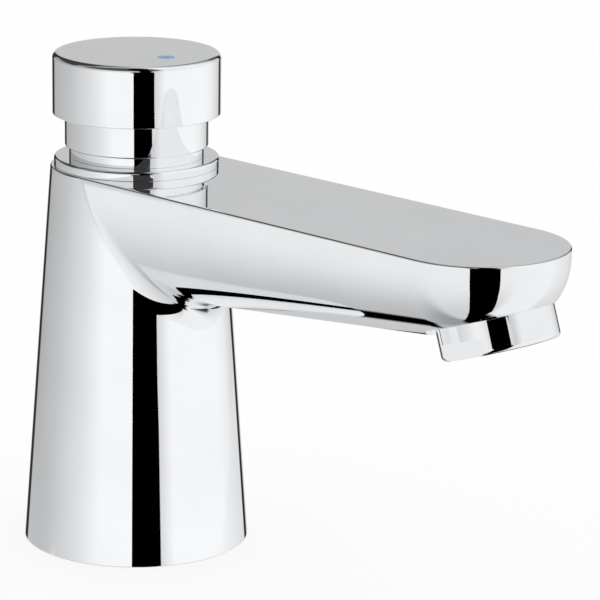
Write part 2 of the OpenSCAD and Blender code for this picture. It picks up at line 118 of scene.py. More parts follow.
# Cap and ring
CAP_R = radius_of("push_cap")
CAP_Z = foot_of("push_cap")
CAP_TOP = top_of("push_cap")
CAP_WALL = 2.6
CAP_ROOF_T = 2.4
RING_R = radius_of("cover_ring")
RING_TOP = top_of("cover_ring")
RING_BORE_R = 15.3

# Sleeve: its threaded bonnet, foot and guide, the recess above its roof and the gland in it
SLEEVE_R = radius_of("guide_sleeve")
SLEEVE_TOP = top_of("guide_sleeve")
BONNET_Z = foot_of("guide_sleeve")
BONNET_R = 15.0
BONNET_BORE_R = 12.55
FOOT_R = 16.1
SLEEVE_FOOT_H = 2.6
STEP_Z = RING_TOP + SLEEVE_FOOT_H
RECESS_R = 14.0
ROOF_TOP = 104.0
ROOF_Z = 96.0
GLAND_R = 8.75
GLAND_Z = 101.4
BUSH_R = 6.45
CIRCLIP_GROOVE_R = 9.55
TIMING_HOLE_R = 1.45
TIMING_OUT = 11.025

# Collar of the aerator, with its lip, bore and wrench flats
COLLAR_R = 13.3
COLLAR_H = 7.5
COLLAR_BORE_R = 10.9
COLLAR_LIP_R = 10.1
COLLAR_LIP_T = 0.8
COLLAR_THREAD_H = 8.0
COLLAR_FLAT_HALF = 11.8
COLLAR_FLAT_H = 3.8

# Shank: its bore, the strainer's seat, the groove above the tail and the hexagon
SHANK_R = mount_radius("inlet_tail")
SHANK_END = foot_of("inlet_shank")
SHANK_TOP = top_of("inlet_shank")
SHANK_BORE_R = 7.2
STRAINER_SEAT_R = radius_of("inlet_strainer") + CLEAR
STRAINER_SEAT_H = 2.0
TAIL_LEN = 14.0
TAIL_GROOVE_H = 2.0
HEX_FLATS = 27.0
HEX_Z = 3.0
HEX_TOP = 8.0

# Backnut with its flange, and the bores of the seals and the washer
NUT_R = radius_of("backnut")
NUT_Z = foot_of("backnut")
NUT_TOP = top_of("backnut")
NUT_FLATS = 30.0
NUT_FLANGE_T = 2.0
NUT_FLANGE_LAP = 0.5
NUT_HOLE_R = 10.53
NUT_CHAMFER = 1.07
BASE_SEAL_BORE_R = 17.55
DECK_CLEAR = 0.25
DECK_BORE_R = SHANK_R + DECK_CLEAR

# Rooms in the body: for the shank's hexagon and seal, the valve chamber and the gallery around the cartridge
HEX_ROOM_R = 16.99
SEAL_T = 2.2
SEAL_ROOM_H = 2.3
CHAMBER_R = 11.0
CHAMBER_GAP = 2.0
HOUSING_R = radius_of("cartridge_housing")
HOUSING_Z = foot_of("cartridge_housing")
GALLERY_R = 16.5
GALLERY_Z = 63.0
GALLERY_TOP = 73.0

# Bores up the column from the base, as (radius, upper end)
BORES = (
    (radius_of("base_gasket") + CLEAR, top_of("base_gasket")),
    (HEX_ROOM_R, HEX_TOP),
    (SHANK_R + SEAL_T + CLEAR, HEX_TOP + SEAL_ROOM_H),
    (SHANK_R + CLEAR, SHANK_TOP + CHAMBER_GAP),
    (CHAMBER_R, HOUSING_Z),
    (HOUSING_R + CLEAR, GALLERY_Z),
    (GALLERY_R, GALLERY_TOP),
    (HOUSING_R + CLEAR, BONNET_Z),
    (BONNET_R + CLEAR, FLAT_Z + OVER),
)

# Water channel along the spout: its section, and how far its middle lies from the gallery's and the socket's
CHANNEL_W = 14.0
CHANNEL_H = 9.0
CHANNEL_LIFT = 1.0
CHANNEL_DROP = 1.3

# Radii of the eased edges and fillets, in millimetres
CREASE_R = 6.0
RIM_R = 0.4
BASE_EDGE_R = 0.25
CAP_EDGE_R = 1.4
CAP_FOOT_R = 0.2
CAP_BORE_R = 0.3
CAP_ROOF_R = 0.6
RING_EDGE_R = 0.7
RING_FOOT_R = 0.12
RING_BORE_EDGE_R = 0.1
BONNET_EDGE_R = 0.3
FOOT_FILLET_R = 0.1
STEP_FILLET_R = 0.25
STEP_EDGE_R = 0.35
SLEEVE_EDGE_R = 0.4
RECESS_EDGE_R = 0.2
COLLAR_EDGE_R = 1.1
COLLAR_LIP_EDGE_R = 0.25
COLLAR_SEAT_EDGE_R = 0.15
COLLAR_THREAD_EDGE_R = 0.3
COLLAR_BORE_EDGE_R = 0.2
FLANGE_EDGE_R = 0.3


# Mesh helpers

# Points closer than this are one point, and edges shorter than this are none, in metres
MERGE_DIST = 2e-7
NO_LENGTH = 1e-7
# Less than any size or slope
TINY = 1e-9


def smooth_mesh(obj, angle=28.0):
    """Shades a mesh smooth and keeps the edges that turn more than the angle sharp."""
    obj.data.shade_smooth()
    obj.data.set_sharp_from_angle(angle=math.radians(angle))
    return obj


def polish(obj, angle=20.0):
    """Shades a mesh smooth and lets its large faces set the normals, so that flats reflect straight."""
    weighted = obj.modifiers.new("true_flats", "WEIGHTED_NORMAL")
    weighted.keep_sharp = True
    return smooth_mesh(obj, angle)


def mesh_object(name, points, faces):
    """A new object from points in millimetres, with doubled points merged and faces turned outwards."""
    mesh = bpy.data.meshes.new(name)
    mesh.from_pydata((np.asarray(points, float) * MM).tolist(), [], faces)
    work = bmesh.new()
    work.from_mesh(mesh)
    bmesh.ops.remove_doubles(work, verts=work.verts, dist=MERGE_DIST)
    bmesh.ops.dissolve_degenerate(work, edges=work.edges, dist=NO_LENGTH)
    bmesh.ops.recalc_face_normals(work, faces=work.faces)
    work.to_mesh(mesh)
    work.free()
    obj = bpy.data.objects.new(name, mesh)
    bpy.context.scene.collection.objects.link(obj)
    return obj


def read(items, name, width=1, kind=float):
    """One attribute of all the items of a mesh, in rows of the given width."""
    values = np.zeros(len(items) * width, kind)
    items.foreach_get(name, values)
    return values.reshape(-1, width) if width > 1 else values


def set_points(obj, points):
    """Moves a mesh's points, in millimetres."""
    obj.data.vertices.foreach_set("co", (points * MM).ravel())
    obj.data.update()


def rounded(corners, steps):
    """The outline through corners (r, z, radius) with each corner rounded by its radius."""
    outline = []
    count = len(corners)
    for i, (r, z, radius) in enumerate(corners):
        here = np.array((r, z))
        if radius <= 0:
            outline.append(here)
            continue
        back = np.array(corners[i - 1][:2]) - here
        ahead = np.array(corners[(i + 1) % count][:2]) - here
        back = back / np.linalg.norm(back)
        ahead = ahead / np.linalg.norm(ahead)
        half = math.acos(np.clip(back @ ahead, -1, 1)) / 2
        middle = (back + ahead) / np.linalg.norm(back + ahead)
        centre = here + middle * radius / math.sin(half)
        start = here + back * radius / math.tan(half) - centre
        end = here + ahead * radius / math.tan(half) - centre
        turn = math.atan2(start[0] * end[1] - start[1] * end[0], start @ end)
        for k in range(steps + 1):
            a = turn * k / steps
            spin = np.array(((math.cos(a), -math.sin(a)), (math.sin(a), math.cos(a))))
            outline.append(centre + spin @ start)
    return np.array(outline)


def lathe(name, outline, sides):
    """A solid turned about Z from an outline of (r, z), which is left open where it starts on the axis."""
    outline = np.asarray(outline, float)
    count = len(outline)
    closed = outline[0, 0] > TINY
    turns = np.arange(sides) * 2 * math.pi / sides
    ring = np.stack((np.cos(turns), np.sin(turns)), 1)
    points = np.zeros((count, sides, 3))
    points[:, :, :2] = outline[:, 0][:, None, None] * ring[None]
    points[:, :, 2] = outline[:, 1][:, None]
    faces = []
    for i in range(count if closed else count - 1):
        j = (i + 1) % count
        for k in range(sides):
            n = (k + 1) % sides
            faces.append((i * sides + k, i * sides + n, j * sides + n, j * sides + k))
    return mesh_object(name, points.reshape(-1, 3), faces)


def rod(name, radius, low, high, sides):
    """A plain cylinder or prism on Z."""
    return lathe(name, ((0, low), (radius, low), (radius, high), (0, high)), sides)


def block(name, low, high):
    """A plain box between two corners, for cutting."""
    xs, ys, zs = zip(low, high)
    corners = [(x, y, z) for x in xs for y in ys for z in zs]
    faces = [(0, 1, 3, 2), (4, 6, 7, 5), (0, 4, 5, 1), (2, 3, 7, 6), (0, 2, 6, 4), (1, 5, 7, 3)]
    return mesh_object(name, corners, faces)


def place(obj, origin, lean=0.0):
    """Leans a mesh about Y and moves it, in millimetres."""
    c, s = math.cos(lean), math.sin(lean)
    spin = np.array(((c, 0, s), (0, 1, 0), (-s, 0, c)))
    points = read(obj.data.vertices, "co", 3) / MM
    set_points(obj, points @ spin.T + np.array(origin))
    return obj


def at_outlet(obj):
    """Moves a mesh from the outlet's own axes to its place under the spout's tip."""
    return place(obj, SEAT, -OUTLET_TILT)


def cut(obj, *tools, operation="DIFFERENCE"):
    """Cuts the tools out of the object's mesh, or joins them to it, and removes them."""
    for tool in tools:
        step = obj.modifiers.new("cut", "BOOLEAN")
        step.operation = operation
        step.solver = "MANIFOLD"
        step.object = tool
    graph = bpy.context.evaluated_depsgraph_get()
    result = bpy.data.meshes.new_from_object(obj.evaluated_get(graph))
    obj.modifiers.clear()
    obj.data = result
    for tool in tools:
        bpy.data.objects.remove(tool)
    return obj


def grid_faces(index):
    """Faces between the neighbours of a grid of point numbers."""
    a, b, c, d = index[:-1, :-1], index[1:, :-1], index[1:, 1:], index[:-1, 1:]
    return np.stack((a, b, c, d), -1).reshape(-1, 4).tolist()


# Body: the column and the spout as one surface with a fillet between them

# Softening of the section's shares where they start, so that the distance has a slope everywhere
SOFT_WIDE = 0.07
SOFT_DEEP = 0.1
# Distance that counts as away from the spout, and the most that two normals count as alike
AWAY = 1e3
ALIKE_MOST = 0.99

# Steps of the mesh: the spout's upright side, the round below it, along the spout, around its tip, around the
# column's back and down the column
UPRIGHT_ROWS = 3
ROUND_ROWS = 57
SPOUT_STEPS = 60
TIP_STEPS = 40
BACK_STEPS = 64
COLUMN_STEPS = 44
# Rows near the crease by their distance from it, and the most of a line that they take
CLOSE_ROWS = np.array((0, 0.12, 0.25, 0.4, 0.6, 0.85, 1.15, 1.5, 2.0, 2.6, 3.4, 4.4, 5.6))
CLOSE_SHARE = 0.6
# Rows over an eased edge by their share of its quarter turn, with one further in on the flat face
BASE_ROWS = (0.25, 0.5, 0.75, 1.0, 3.0)
RIM_ROWS = (0.2, 0.4, 0.6, 0.8, 1.0, 2.5)
# Search for the crease: how far out it may lie, and the halvings
CREASE_LIMIT = 60.0
HALVINGS = 50
# Points this close to the skin take its normals, on faces that look about the same way
SKIN_NEAR = 4e-3
SKIN_ALIKE = 0.7


def cone_radius(z):
    """Radius of the column at a height."""
    return BASE_R + (TOP_R - BASE_R) * z / FLAT_Z


def cone_gap(x, y, z):
    """Distance outside the column's cone."""
    return (np.hypot(x, y) - cone_radius(z)) * math.cos(CONE_LEAN)


def fullness(x):
    """Fullness of the spout's section at x."""
    return ROOT_FULL + (TIP_FULL - ROOT_FULL) * np.clip(x / REACH, 0, 1)


def spout_terms(x, y, z):
    """Size of the section through a point, as a share of the spout's, with its slopes across and down."""
    full = fullness(x)
    depth = ROOT_ROUND - ROUND_FALL * x
    out = np.hypot(np.maximum(x - REACH, 0), y) / HALF_W
    wide = np.sqrt(out * out + SOFT_WIDE ** 2)
    drop = (FLAT_Z - z - SIDE_H) / depth
    deep = 0.5 * (drop + np.sqrt(drop * drop + SOFT_DEEP ** 2))
    size = (wide ** full + deep ** full) ** (1 / full)
    slope_w = (wide / size) ** (full - 1) / HALF_W
    slope_d = (deep / size) ** (full - 1) / depth
    return size, slope_w, slope_d


def filleted(a, b, alike):
    """Two solids joined with a rolling-ball fillet, from their distances and how alike their normals are."""
    u, v = CREASE_R - a, CREASE_R - b
    inside = (u > alike * v) & (v > alike * u)
    spread = np.maximum(u * u + v * v - 2 * alike * u * v, 0) / (1 - alike * alike)
    return np.where(inside, CREASE_R - np.sqrt(spread), np.minimum(a, b))


def union_gap(x, y, z):
    """Distance outside the column and spout, with a fillet between them."""
    cone = cone_gap(x, y, z)
    size, slope_w, slope_d = spout_terms(x, y, z)
    slope = np.hypot(slope_w, slope_d)
    spout = np.where(x > 0, (size - 1) / slope, AWAY)
    lean_y = np.abs(y) / np.maximum(np.hypot(x, y), TINY) * math.cos(CONE_LEAN)
    lean_z = math.sin(CONE_LEAN)
    alike = (slope_w * lean_y - slope_d * lean_z) / slope
    return filleted(cone, spout, np.clip(alike, -ALIKE_MOST, ALIKE_MOST))


def eased(a, b, radius):
    """The common part of two solids, from their distances, with the edge between them rounded."""
    over = np.hypot(np.maximum(a + radius, 0), np.maximum(b + radius, 0))
    return np.minimum(np.maximum(a, b), -radius) + over


def body_gap(p):
    """Distance outside the body's skin for points in millimetres."""
    x, y, z = p[:, 0], p[:, 1], p[:, 2]
    return eased(eased(union_gap(x, y, z), z - FLAT_Z, RIM_R), -z, BASE_EDGE_R)


def body_slope(p, step=1e-3):
    """Gradient of body_gap."""
    slope = np.zeros_like(p)
    for axis in range(3):
        move = np.zeros(3)
        move[axis] = step
        slope[:, axis] = (body_gap(p + move) - body_gap(p - move)) / (2 * step)
    return slope


def onto_body(p, rounds=6):
    """Moves points onto the body's skin."""
    for _ in range(rounds):
        slope = body_slope(p)
        steepness = np.maximum((slope ** 2).sum(1), TINY)
        p = p - (body_gap(p) / steepness)[:, None] * slope
    return p


def section_line(turns, drops, x):
    """Half-width and height on the spout's section at x, by the round's turns and the side's drops."""
    full = fullness(x)
    wide = HALF_W * np.cos(turns) ** (2 / full)
    deep = (ROOT_ROUND - ROUND_FALL * x) * np.sin(turns) ** (2 / full)
    return wide, FLAT_Z - drops - deep


def section_rows():
    """Turns and drops of the lines along the spout: down its upright side, then around its round."""
    upright = np.linspace(RIM_R, SIDE_H, UPRIGHT_ROWS + 1)[:-1]
    turns = np.concatenate((np.zeros(UPRIGHT_ROWS), np.linspace(0, math.pi / 2, ROUND_ROWS)))
    drops = np.concatenate((upright, np.full(ROUND_ROWS, SIDE_H)))
    return turns, drops


def crease_starts(turns, drops):
    """Where each line along the spout leaves the column's cone."""
    low = np.zeros(len(turns))
    high = np.full(len(turns), CREASE_LIMIT)
    for _ in range(HALVINGS):
        x = (low + high) / 2
        wide, z = section_line(turns, drops, x)
        inside = cone_gap(x, wide, z) < 0
        low = np.where(inside, x, low)
        high = np.where(inside, high, x)
    return (low + high) / 2


def spaced(start, end, count):
    """Stations from start to end: close rows by their distance from the start, then even ones."""
    most = CLOSE_SHARE * (end - start)
    close = np.minimum(CLOSE_ROWS[None, :], most[:, None] * (CLOSE_ROWS / CLOSE_ROWS[-1])[None, :])
    near = start[:, None] + close
    far = near[:, -1:] + (end[:, None] - near[:, -1:]) * (np.arange(1, count + 1) / count)[None, :]
    return np.concatenate((near, far), 1)


def edge_rows(shares, radius):
    """How far in and how far up each row over an eased edge lies."""
    rows = []
    for share in shares:
        bend = min(share, 1.0) * math.pi / 2
        inward = radius * (1 - math.cos(bend)) + radius * max(share - 1, 0)
        rows.append((inward, radius * math.sin(bend)))
    return rows


def spout_grid(turns, drops, starts, swing):
    """Points along the spout from the crease to the tip's centre, then around the tip."""
    x = spaced(starts, np.full(len(turns), REACH), SPOUT_STEPS)
    wide, z = section_line(turns[:, None], drops[:, None], x)
    side = np.stack((x, -wide, z), -1)
    tip_w = HALF_W * np.cos(turns)[:, None] ** (2 / TIP_FULL)
    out = tip_w * np.cos(swing)
    share = np.sin(turns)[:, None] ** (2 / TIP_FULL)
    tip_z = FLAT_Z - drops[:, None] - share * (TIP_ROUND - ROUND_FALL * out)
    tip = np.stack((REACH + out, tip_w * np.sin(swing), tip_z), -1)
    return np.concatenate((side, tip), 1)


def column_grid(angle, top):
    """Points down the column from its top line, then over the base's edge."""
    heights = spaced(top, np.full(len(top), BASE_EDGE_R), COLUMN_STEPS)
    radius = cone_radius(heights)
    foot_r = radius[:, -1:]
    for inward, rise in edge_rows(BASE_ROWS, BASE_EDGE_R):
        radius = np.concatenate((radius, foot_r - inward), 1)
        heights = np.concatenate((heights, np.full_like(foot_r, BASE_EDGE_R - rise)), 1)
    return np.stack((radius * np.cos(angle)[:, None], radius * np.sin(angle)[:, None], heights), -1)


def rim_grid(edge, back, swing):
    """Points over the rim's edge onto the flat top, inwards from the line around it."""
    outward = np.zeros((len(edge), 2))
    outward[:, 1] = -1
    outward[:len(back)] = np.stack((np.cos(back), np.sin(back)), -1)
    outward[-len(swing):] = np.stack((np.cos(swing), np.sin(swing)), -1)
    rows = []
    for inward, rise in edge_rows(RIM_ROWS, RIM_R):
        row = edge.copy()
        row[:, :2] -= outward * inward
        row[:, 2] = FLAT_Z - RIM_R + rise
        rows.append(row)
    return np.stack(rows, 1)


def numbered(grids):
    """Point numbers of each grid, when the grids' points are listed one after another."""
    numbers = []
    start = 0
    for grid in grids:
        count = grid.shape[0] * grid.shape[1]
        numbers.append(start + np.arange(count).reshape(grid.shape[:2]))
        start += count
    return numbers


def body_half():
    """Points and faces of the body's skin on the side of negative Y."""
    turns, drops = section_rows()
    starts = crease_starts(turns, drops)
    swing = np.linspace(-math.pi / 2, 0, TIP_STEPS + 1)[1:]
    spout = spout_grid(turns, drops, starts, swing)

    # the column starts at the flat top behind, and at the crease in front
    crease_w, crease_z = section_line(turns, drops, starts)
    front = np.arctan2(-crease_w, starts)
    back = np.linspace(-math.pi, front[0], BACK_STEPS + 1)[:-1]
    top = np.concatenate((np.full(BACK_STEPS, FLAT_Z - RIM_R), crease_z))
    column = column_grid(np.concatenate((back, front)), top)
    rim = rim_grid(np.concatenate((column[:BACK_STEPS, 0], spout[0])), back, swing)

    # the line around the flat top is the rim's first row
    spout_n, column_n, rim_n = numbered((spout, column, rim))
    edge_n = np.concatenate((column_n[:BACK_STEPS, 0], spout_n[0]))
    rim_n = np.concatenate((edge_n[:, None], rim_n), 1)
    faces = grid_faces(spout_n) + grid_faces(column_n) + grid_faces(rim_n)
    faces += [rim_n[:, -1].tolist(), column_n[:, -1].tolist()]

    # points on the plane of symmetry lie exactly on it
    points = onto_body(np.concatenate([grid.reshape(-1, 3) for grid in (spout, column, rim)]))
    points[:, 1] = np.minimum(points[:, 1], 0)
    middle = (spout_n[-1], spout_n[:, -1], column_n[0], column_n[-1, 1:], rim_n[0, 1:], rim_n[-1, 1:])
    points[np.concatenate(middle), 1] = 0
    return points, faces


def skin_normals(obj):
    """Gives the body's skin the exact normals of its surface, and every other face its own smooth ones."""
    smooth_mesh(obj, angle=30)
    mesh = obj.data
    points = read(mesh.vertices, "co", 3) / MM
    on_skin = np.abs(body_gap(points)) < SKIN_NEAR
    slope = body_slope(points)
    slope /= np.maximum(np.linalg.norm(slope, axis=1), TINY)[:, None]
    vertex = read(mesh.loops, "vertex_index", kind=int)
    face = np.repeat(np.arange(len(mesh.polygons)), read(mesh.polygons, "loop_total", kind=int))
    agrees = (read(mesh.polygons, "normal", 3)[face] * slope[vertex]).sum(1) > SKIN_ALIKE
    use = on_skin[vertex] & agrees
    normals = read(mesh.corner_normals, "vector", 3, np.float32).astype(float)
    normals[use] = slope[vertex][use]
    mesh.normals_split_custom_set(normals.tolist())


def make_bores():
    """The bores up the column's axis as one solid, for cutting."""
    low = -OVER
    outline = [(0, low)]
    for radius, high in BORES:
        outline += [(radius, low), (radius, high)]
        low = high
    outline.append((0, low))
    return lathe("bores", outline, sides=128)


def make_socket():
    """The aerator's spot face and threaded socket as one solid, for cutting."""
    thread_r = OUTLET_THREAD_R + CLEAR
    outline = (
        (0, -FAR), (SPOT_R, -FAR), (SPOT_R, 0),
        (thread_r, 0), (thread_r, SOCKET_DEPTH), (0, SOCKET_DEPTH),
    )
    return at_outlet(lathe("socket", outline, sides=128))


def make_channel():
    """The water channel from the gallery to the socket, for cutting."""
    start = np.array((HOUSING_R, 0, (GALLERY_Z + GALLERY_TOP) / 2 + CHANNEL_LIFT))
    end_x = SEAT[0] - SOCKET_DEPTH * math.sin(OUTLET_TILT)
    end_z = SEAT[2] + SOCKET_DEPTH * math.cos(OUTLET_TILT) - CHANNEL_DROP
    run, climb = end_x - start[0], end_z - start[2]
    half_w, half_h = CHANNEL_W / 2, CHANNEL_H / 2
    channel = block("channel", (0, -half_w, -half_h), (math.hypot(run, climb), half_w, half_h))
    return place(channel, start, -math.atan2(climb, run))


def make_body():
    """The column and spout with the bores, the aerator's seat and the water channel cut out."""
    points, faces = body_half()
    mirrored = points * np.array((1, -1, 1))
    count = len(points)
    both = faces + [[i + count for i in reversed(face)] for face in faces]
    body = mesh_object("tap_body", np.concatenate((points, mirrored)), both)
    cut(body, make_bores(), make_socket(), make_channel())
    skin_normals(body)
    return body


# Cap, ring, sleeve and aerator

def make_cap():
    """The push cap, open below, with the pocket for the index."""
    bore_r = CAP_R - CAP_WALL
    roof_z = CAP_TOP - CAP_ROOF_T
    outline = (
        (0, CAP_TOP, 0), (CAP_R, CAP_TOP, CAP_EDGE_R), (CAP_R, CAP_Z, CAP_FOOT_R),
        (bore_r, CAP_Z, CAP_BORE_R), (bore_r, roof_z, CAP_ROOF_R), (0, roof_z, 0),
    )
    cap = lathe("cap", rounded(outline, steps=8), sides=256)
    low, high = node_box("cold_index")
    pocket = rod("pocket", (high[0] - low[0]) / 2 + CLEAR, low[2], CAP_TOP + OVER, sides=64)
    cut(cap, place(pocket, ((low[0] + high[0]) / 2, 0, 0)))
    return polish(cap)


def make_ring():
    """The cover ring on the flat top."""
    outline = (
        (RING_BORE_R, FLAT_Z, 0), (RING_R, FLAT_Z, RING_FOOT_R),
        (RING_R, RING_TOP, RING_EDGE_R), (RING_BORE_R, RING_TOP, RING_BORE_EDGE_R),
    )
    return polish(lathe("ring", rounded(outline, steps=6), sides=256))


def make_sleeve():
    """The guide sleeve: threaded bonnet in the column, narrow foot, step and guide."""
    outline = (
        (BONNET_BORE_R, BONNET_Z, 0), (BONNET_R, BONNET_Z, BONNET_EDGE_R), (BONNET_R, RING_TOP, 0),
        (FOOT_R, RING_TOP, FOOT_FILLET_R), (FOOT_R, STEP_Z, STEP_FILLET_R),
        (SLEEVE_R, STEP_Z, STEP_EDGE_R), (SLEEVE_R, SLEEVE_TOP, SLEEVE_EDGE_R),
        (RECESS_R, SLEEVE_TOP, RECESS_EDGE_R), (RECESS_R, ROOF_TOP, 0), (GLAND_R, ROOF_TOP, 0),
        (GLAND_R, GLAND_Z, 0), (BUSH_R, GLAND_Z, 0), (BUSH_R, ROOF_Z, 0), (BONNET_BORE_R, ROOF_Z, 0),
    )
    sleeve = lathe("sleeve", rounded(outline, steps=6), sides=192)
    low, high = foot_of("circlip") - CLEAR, top_of("circlip") + CLEAR
    inner = GLAND_R - OVER
    groove = ((inner, low), (CIRCLIP_GROOVE_R, low), (CIRCLIP_GROOVE_R, high), (inner, high))
    hole = rod("hole", TIMING_HOLE_R, ROOF_Z - OVER, ROOF_TOP + OVER, sides=32)
    cut(sleeve, lathe("groove", groove, sides=96), place(hole, (-TIMING_OUT, 0, 0)))
    return polish(sleeve)


def make_aerator():
    """The aerator's collar with two wrench flats, a lip around the grid and its thread in the socket."""
    lip_z = COLLAR_LIP_T - COLLAR_H
    outline = (
        (COLLAR_LIP_R, -COLLAR_H, COLLAR_LIP_EDGE_R), (COLLAR_R, -COLLAR_H, COLLAR_EDGE_R),
        (COLLAR_R, 0, COLLAR_SEAT_EDGE_R), (OUTLET_THREAD_R, 0, 0),
        (OUTLET_THREAD_R, COLLAR_THREAD_H, COLLAR_THREAD_EDGE_R),
        (COLLAR_BORE_R, COLLAR_THREAD_H, COLLAR_BORE_EDGE_R),
        (COLLAR_BORE_R, lip_z, 0), (COLLAR_LIP_R, lip_z, 0),
    )
    collar = lathe("collar", rounded(outline, steps=8), sides=192)
    for side in (-1, 1):
        near, far = sorted((side * COLLAR_FLAT_HALF, side * FAR))
        cut(collar, block("flat", (-FAR, near, -COLLAR_H - OVER), (FAR, far, COLLAR_FLAT_H - COLLAR_H)))
    return at_outlet(polish(collar, angle=16))


# Return spring
SPRING_WIRE_R = 0.65
SPRING_TURNS = 6
SPRING_BOX = node_box("return_spring")


def make_spring(steps=36 * SPRING_TURNS, sides=12):
    """The return spring: a round wire wound between the housing's floor and the piston."""
    low, high = SPRING_BOX
    coil_r = (high[0] - low[0]) / 2 - SPRING_WIRE_R
    along = np.linspace(0, 1, steps + 1)[:, None]
    around = 2 * math.pi * np.arange(sides)[None, :] / sides
    turn = 2 * math.pi * SPRING_TURNS * along
    out = coil_r + SPRING_WIRE_R * np.cos(around)
    z = low[2] + SPRING_WIRE_R * (1 + np.sin(around)) + (high[2] - low[2] - 2 * SPRING_WIRE_R) * along
    points = np.stack((out * np.cos(turn), out * np.sin(turn), z), -1)
    index = np.arange((steps + 1) * sides).reshape(steps + 1, sides)
    faces = grid_faces(np.concatenate((index, index[:, :1]), 1)) + [index[0].tolist(), index[-1].tolist()]
    spring = mesh_object("spring", points.reshape(-1, 3), faces)
    return smooth_mesh(spring, angle=40)


def add_spring():
    """Sets the spring in the place of its solid, on a mesh of its own."""
    spring = make_spring()
    add_piece(spring, "return_spring", "tap", "steel")
    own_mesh(spring)


# Fixings at the deck

# Screw thread, with the chamfers at the shank's two ends and its run-out at the groove
THREAD_PITCH = 1.814
THREAD_DEPTH = 1.16
THREAD_ROWS = 10
LEAD_IN = 1.2
TOP_CHAMFER = 1.08
RUN_OUT = 0.4

# Turned corners of a hexagon: their slope, and how far the cut reaches inside the flats and past the corners
CORNER_SLOPE = math.tan(math.radians(30))
CORNER_INSET = 0.4
CORNER_SPARE = 1.5


def cut_thread(obj, crest_r):
    """Pulls the points that stand outside a screw thread in onto its flanks."""
    points = read(obj.data.vertices, "co", 3) / MM
    out = np.hypot(points[:, 0], points[:, 1])
    turn = 2 * math.pi * points[:, 2] / THREAD_PITCH - np.arctan2(points[:, 1], points[:, 0])
    flank = crest_r - 0.5 * THREAD_DEPTH * (1 - np.cos(turn))
    points[:, :2] *= np.minimum(1, flank / out)[:, None]
    set_points(obj, points)


def hexagon(name, flats, low, high):
    """A hexagonal solid on Z with its corners turned off at the lower end."""
    corner = flats / math.sqrt(3)
    nut = rod(name, corner, low, high, sides=6)
    inner, outer = flats / 2 - CORNER_INSET, corner + CORNER_SPARE
    below = low - CORNER_INSET * CORNER_SLOPE
    outline = ((inner, below), (outer, below), (outer, low + (outer - flats / 2) * CORNER_SLOPE))
    return cut(nut, lathe("turned", outline, sides=96))


def make_shank():
    """The inlet shank: screw thread with a groove above the tail, hexagon and bore."""
    core_r = SHANK_R - THREAD_DEPTH
    groove_r = core_r - CLEAR
    groove_low = SHANK_END + TAIL_LEN
    groove_high = groove_low + TAIL_GROOVE_H
    seat_top = SHANK_END + STRAINER_SEAT_H
    row = THREAD_PITCH / THREAD_ROWS
    outline = [(STRAINER_SEAT_R, SHANK_END), (core_r, SHANK_END)]
    outline += [(SHANK_R, z) for z in np.arange(SHANK_END + LEAD_IN, groove_low - RUN_OUT, row)]
    outline += [(groove_r, groove_low), (groove_r, groove_high)]
    outline += [(SHANK_R, z) for z in np.arange(groove_high + RUN_OUT, HEX_Z, row)]
    outline += [(SHANK_R, SHANK_TOP - TOP_CHAMFER), (core_r, SHANK_TOP), (SHANK_BORE_R, SHANK_TOP)]
    outline += [(SHANK_BORE_R, seat_top), (STRAINER_SEAT_R, seat_top)]
    shank = lathe("shank", outline, sides=72)
    cut_thread(shank, SHANK_R)
    collar = hexagon("shank_collar", HEX_FLATS, HEX_Z, HEX_TOP)
    inside_r = (SHANK_R + SHANK_BORE_R) / 2
    cut(collar, rod("collar_bore", inside_r, HEX_Z - OVER, HEX_TOP + OVER, sides=72))
    cut(shank, collar, operation="UNION")
    return smooth_mesh(shank, angle=35)


def make_backnut():
    """The backnut: a hexagon with turned corners under a round flange."""
    nut = hexagon("nut", NUT_FLATS, NUT_Z, NUT_TOP - NUT_FLANGE_LAP)
    flange_z = NUT_TOP - NUT_FLANGE_T
    outline = (
        (0, flange_z, 0), (NUT_R, flange_z, FLANGE_EDGE_R),
        (NUT_R, NUT_TOP, FLANGE_EDGE_R), (0, NUT_TOP, 0),
    )
    cut(nut, lathe("flange", rounded(outline, steps=5), sides=128), operation="UNION")
    mouth_r = NUT_HOLE_R + NUT_CHAMFER
    hole = (
        (0, NUT_Z - OVER), (mouth_r, NUT_Z - OVER), (mouth_r, NUT_Z),
        (NUT_HOLE_R, NUT_Z + NUT_CHAMFER), (NUT_HOLE_R, NUT_TOP - NUT_CHAMFER),
        (mouth_r, NUT_TOP), (mouth_r, NUT_TOP + OVER), (0, NUT_TOP + OVER),
    )
    cut(nut, lathe("hole", hole, sides=96))
    return smooth_mesh(nut, angle=25)


def make_washer(name, node, bore_r, edge_r):
    """A flat ring with eased edges, as wide and high as its solid."""
    outer, low, high = radius_of(node), foot_of(node), top_of(node)
    outline = [(r, z, edge_r) for r, z in ((bore_r, low), (outer, low), (outer, high), (bore_r, high))]
    return polish(lathe(name, rounded(outline, steps=4), sides=160))


# Materials

# Fineness of the noise fields, clouds on plastic per metre, and depths of the bumps in metres
CLOUD_DETAIL = 3.0
GRAIN_DETAIL = 2.0
PLASTIC_CLOUD = 180
METAL_BUMP = 0.00002
PLASTIC_BUMP = 0.00005
# Part of a noise field's range that is used
FIELD = (0.3, 0.7)


def noise(tree, scale, detail, stretch):
    """A noise field over the object's own coordinates."""
    coords = tree.nodes.new("ShaderNodeTexCoord")
    mapping = tree.nodes.new("ShaderNodeMapping")
    mapping.inputs["Scale"].default_value = stretch
    field = tree.nodes.new("ShaderNodeTexNoise")
    field.inputs["Scale"].default_value = scale
    field.inputs["Detail"].default_value = detail
    tree.links.new(coords.outputs["Object"], mapping.inputs["Vector"])
    tree.links.new(mapping.outputs["Vector"], field.inputs["Vector"])
    return field.outputs["Fac"]


